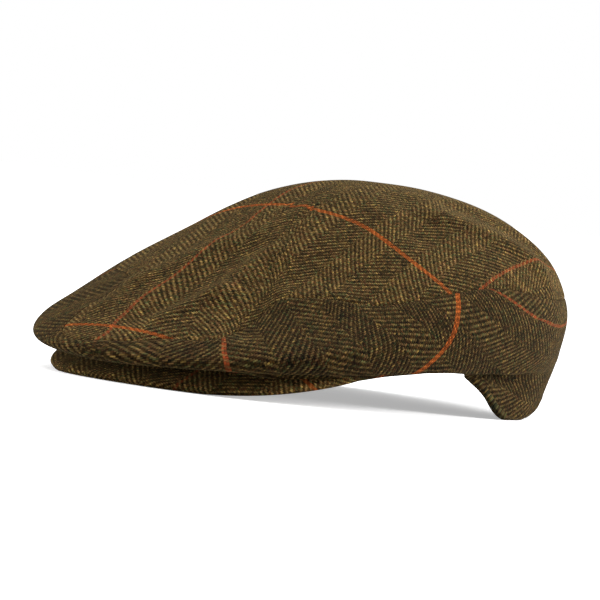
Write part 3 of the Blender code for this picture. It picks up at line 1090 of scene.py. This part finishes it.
mixed_wool = make_mixed_wool()
print(mixed_wool.name, len(mixed_wool.nodes), "nodes")

# %% [markdown]
# ## Tweed
# The material reads the thread map, lets the threads wander a little, and asks the groups which
# thread is on top and what its wool looks like: dark brown in the warp, tan in the weft. The
# gaps between the floats are painted darker, as shade, and the tops of the floats painted lighter,
# as highlight. The twist of the yarn makes the diagonals stand out more in every other column, so
# the painted shade in the gaps is deeper there. Slow clouds of light and dark run over the whole
# cloth. The relief of the floats and the fuzz of the fibres become bump, and sheen stands for the
# fine fibres that light the cloth up at its edges. Each piece also gets painted light or shade in
# its yarn colours: the sides are painted a shade darker than the top, and the peak, which lies
# under the crown's lip, is painted lighter.

# %% Tweed material
# Yarn, its wool, how much its flecks show and how uneven it is.
YARNS = (("Weft Yarn", LIGHT_WOOL, 0.90, 0.80), ("Warp Yarn", DARK_WOOL, 0.85, 0.90))
# Threads of a stripe, their dye and how much of it shows.
STRIPES = (("Red Ends", (0.24, 0.042, 0.012, 1), 0.50), ("Orange Picks", (0.30, 0.062, 0.009, 1), 0.75))
WANDER = 0.0006
WANDER_NOISE = (0.005, 3.0, 0.55)
CLOUD_NOISE = (0.007, 4.0, 0.7)
CLOUD_RANGE = (0.3, 0.7)
CLOUD_DEPTH = (0.62, 1.38)
# Painted shade in the gaps between the floats, deeper in every other column, and a painted highlight on
# the tops of the floats.
GAP_PAINTED_SHADE = 0.66
GAP_PAINTED_SHADE_TURNED = 0.36
FLOAT_PAINTED_HIGHLIGHT = 1.20
SPECKLE_DEPTH = 0.75
FUZZ_NOISE = (1 / 3500, 2.0, 0.5)
FUZZ_SHARE = 0.35
BUMP = {"Strength": 0.9, "Distance": 0.0002}
FINISH = {"Roughness": 0.95, "Specular IOR Level": 0.05, "Sheen Weight": 0.10, "Sheen Roughness": 0.24,
          "Sheen Tint": (0.90, 0.68, 0.32, 1)}
# Painted light and shade for each piece, a factor on its yarn colours: the sides painted darker, the
# peak painted lighter.
PAINTED_LIGHT_TONES = ((crown_top, 1.0), (side_left, 0.66), (side_right, 0.66), (peak, 1.60))


def make_tweed(name, painted_light):
    """Herringbone tweed with its check; painted_light darkens or lightens the yarn as painted shade or
    painted light.
    """
    material = bpy.data.materials.new(name)
    material.use_nodes = True
    tree = material.node_tree
    do = partial(sum_of, tree)

    def use(group, values):
        """The outputs of a group in this material."""
        return add_node(tree, "ShaderNodeGroup", values, node_tree=group).outputs

    threads = add_node(tree, "ShaderNodeUVMap", uv_map="threads").outputs[0]
    stray = noise_at(tree, threads, *WANDER_NOISE)["Color"]
    stray = vector_of(tree, "SUBTRACT", stray, (0.5, 0.5, 0.5))
    wandering = vector_of(tree, "ADD", threads, vector_of(tree, "SCALE", stray, WANDER))
    weave = use(herringbone, {"Threads": wandering})
    check = use(overcheck, {key: weave[key] for key in ("End Number", "Pick Number", "Warp on Top")})
    light, dark = (use(mixed_wool, {"Yarn Place": weave[yarn], **toned(wool, painted_light),
                                    "Flecks": flecks, "Unevenness": unevenness})["Color"]
                   for yarn, wool, flecks, unevenness in YARNS)
    colour = mixed(tree, weave["Warp on Top"], light, dark)
    for stripe, dye, share in STRIPES:
        colour = mixed(tree, do("MULTIPLY", check[stripe], share), colour, dye)
    cloud = noise_at(tree, threads, *CLOUD_NOISE)["Fac"]
    cloud = add_node(tree, "ShaderNodeMapRange", {"Value": cloud, "From Min": CLOUD_RANGE[0],
                                                  "From Max": CLOUD_RANGE[1], "To Min": CLOUD_DEPTH[0],
                                                  "To Max": CLOUD_DEPTH[1]}).outputs[0]
    # Painted shade: the base colour is darkened in the gaps between floats and lightened on their tops,
    # by the relief; hollow carries this painted shade.
    painted_gap_shade = do("MULTIPLY_ADD", weave["Turned Back"], GAP_PAINTED_SHADE_TURNED - GAP_PAINTED_SHADE, GAP_PAINTED_SHADE)
    hollow = do("MULTIPLY_ADD", weave["Relief"], do("SUBTRACT", FLOAT_PAINTED_HIGHLIGHT, painted_gap_shade), painted_gap_shade)
    speckle = do("MULTIPLY_ADD", weave["Speckle"], SPECKLE_DEPTH, 1.0 - SPECKLE_DEPTH / 2)
    shade = do("MULTIPLY", do("MULTIPLY", cloud, speckle), hollow)
    fuzz = noise_at(tree, wandering, *FUZZ_NOISE)["Fac"]
    height = do("MULTIPLY_ADD", fuzz, FUZZ_SHARE, weave["Relief"])
    bump = add_node(tree, "ShaderNodeBump", {"Height": height, **BUMP})
    fill(tree, tree.nodes["Principled BSDF"].inputs, {
        "Base Color": vector_of(tree, "SCALE", colour, shade), "Normal": bump.outputs[0], **FINISH})
    return material


# Each piece's yarn colours get its factor of painted light or shade.
for piece, painted_light in PAINTED_LIGHT_TONES:
    piece.data.materials.clear()
    piece.data.materials.append(make_tweed("tweed of " + piece.name, painted_light))
    print(piece.data.materials[0].name, "made", painted_light, "times as light")

# %% [markdown]
# ## Putting each piece on the body
# Every piece rides on the cap's one body and stands for a solid, whose own mesh is hidden. The flat
# patterns above give the size of cloth that the three panels were cut from.

# %% Pieces and solids
for piece, node, slot in ((crown_top, "crown_top", "top_tweed"), (side_left, "side_left", "side_tweed"),
                          (side_right, "side_right", "side_tweed"), (peak, "peak", "peak_tweed")):
    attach(piece, "root")
    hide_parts(node)

# %% [markdown]
# ## Floor and light
# Cloth looks best in broad soft light from above, which leaves its hollows a little darker. A soft
# window stands high at the front on the wearer's right and another low beside it. A stronger one
# behind the cap lights the edge on the other side. They are named as the camera sees them. The
# surround is white to the camera, but both it and the floor light the cap less than they show, or
# the sides and the underside would be as bright as the top.

# %% Stage
FLOOR_SIZE = 24.0
FLOOR_SEEN = 0.85
FLOOR_GLOW = 0.42
FLOOR_LIT = 0.62
SURROUND_LIGHT = 0.30
OVERHEAD_STRENGTH = 3.0
OVERHEAD_SPREAD = math.radians(70)
WINDOW_SIZE = 0.8
WINDOWS = (
    ("left window",  18.0, (-1.10, -1.00, 1.20), (0, 0, 0.04)),
    ("low window",    7.0, (-0.70, -1.50, 0.20), (0, 0, 0.02)),
    ("right window", 52.0, (1.10, 1.20, 0.55),   (0, 0, 0.05)),
)


def grey(value):
    """A shader colour between black and white."""
    return (value, value, value, 1.0)


def light_and_show(tree, lit, seen, output):
    """Let one shader light the cap, and show the camera the other."""
    path = add_node(tree, "ShaderNodeLightPath").outputs["Is Camera Ray"]
    either = add_node(tree, "ShaderNodeMixShader", {0: path, 1: lit.outputs[0], 2: seen.outputs[0]})
    fill(tree, tree.nodes[output].inputs, {"Surface": either.outputs[0]})


def make_floor():
    """A large pale floor."""
    shape = bmesh.new()
    bmesh.ops.create_grid(shape, x_segments=2, y_segments=2, size=FLOOR_SIZE / 2)
    mesh = bpy.data.meshes.new("floor")
    shape.to_mesh(mesh)
    shape.free()
    material = bpy.data.materials.new("pale floor")
    material.use_nodes = True
    tree = material.node_tree
    tree.nodes.remove(tree.nodes["Principled BSDF"])
    lit = add_node(tree, "ShaderNodeBsdfDiffuse", {"Color": grey(FLOOR_LIT)})
    seen = add_node(tree, "ShaderNodeBsdfDiffuse", {"Color": grey(FLOOR_SEEN)})
    glow = add_node(tree, "ShaderNodeEmission", {"Color": grey(1.0), "Strength": FLOOR_GLOW})
    white = add_node(tree, "ShaderNodeAddShader", {0: seen.outputs[0], 1: glow.outputs[0]})
    light_and_show(tree, lit, white, "Material Output")
    mesh.materials.append(material)
    floor = add_object("floor", mesh)


def make_surround():
    """A white world that the camera sees brighter than it lights."""
    world = bpy.data.worlds.new("studio")
    world.use_nodes = True
    tree = world.node_tree
    lit = tree.nodes["Background"]
    fill(tree, lit.inputs, {"Color": grey(1.0), "Strength": SURROUND_LIGHT})
    seen = add_node(tree, "ShaderNodeBackground", {"Color": grey(1.0), "Strength": 1.0})
    light_and_show(tree, lit, seen, "World Output")
    bpy.context.scene.world = world


def make_window(name, power, spot, target):
    """A soft square light at a spot, turned to a target."""
    lamp = bpy.data.lights.new(name, "AREA")
    lamp.size = WINDOW_SIZE
    lamp.energy = power
    light = add_object(name, lamp)
    light.location = spot
    light.rotation_euler = (Vector(target) - Vector(spot)).to_track_quat("-Z", "Y").to_euler()


def make_overhead():
    """Broad soft light straight from above."""
    lamp = bpy.data.lights.new("overhead", "SUN")
    lamp.energy = OVERHEAD_STRENGTH
    lamp.angle = OVERHEAD_SPREAD
    add_object("overhead", lamp).location = (0, 0, 2)


make_floor()
make_surround()
make_overhead()
for window in WINDOWS:
    make_window(*window)
bpy.context.scene.view_settings.view_transform = "Standard"

# %% [markdown]
# ## Camera
# The photo was taken from the front and the wearer's left, a little above the level of the cap as
# worn, with a long lens. The camera is placed round the level cap first and then tipped with it,
# so it keeps its angle to the cap wherever the cap comes to rest.

# %% Camera
CAMERA_AZIMUTH = math.radians(40)
CAMERA_RISE = math.radians(10)
CAMERA_DISTANCE = 2.0
PHOTO_SIDE = 600
PIXELS_A_METRE = 2200
HEAD_MIDDLE_PIXEL = (323, 334.5)
SENSOR = 36.0

right = np.array([math.cos(CAMERA_AZIMUTH), math.sin(CAMERA_AZIMUTH), 0.0])
up = np.array([-math.sin(CAMERA_AZIMUTH) * math.sin(CAMERA_RISE),
               math.cos(CAMERA_AZIMUTH) * math.sin(CAMERA_RISE), math.cos(CAMERA_RISE)])
back = np.cross(right, up)
aside = (PHOTO_SIDE / 2 - HEAD_MIDDLE_PIXEL[0]) / PIXELS_A_METRE
above = (HEAD_MIDDLE_PIXEL[1] - PHOTO_SIDE / 2) / PIXELS_A_METRE
spot = CAMERA_DISTANCE * back + aside * right + above * up
turn = Matrix(np.stack([tipped @ right, tipped @ up, tipped @ back], 1).tolist())
lens = bpy.data.cameras.new("camera")
lens.sensor_width = SENSOR
lens.lens = SENSOR * PIXELS_A_METRE * CAMERA_DISTANCE / PHOTO_SIDE
camera = add_object("camera", lens)
camera.matrix_world = Matrix.Translation(tipped @ spot + shift) @ turn.to_4x4()
bpy.context.scene.camera = camera
print("camera at", tuple(camera.matrix_world.translation), "lens %.0f mm" % lens.lens)

# %% [markdown]
# ## Bringing the scene up to date
# The dressed cap has to stay the size of the solids. Once everything is placed, the scene is brought
# up to date.

# %% Bring the scene up to date
bpy.context.view_layer.update()
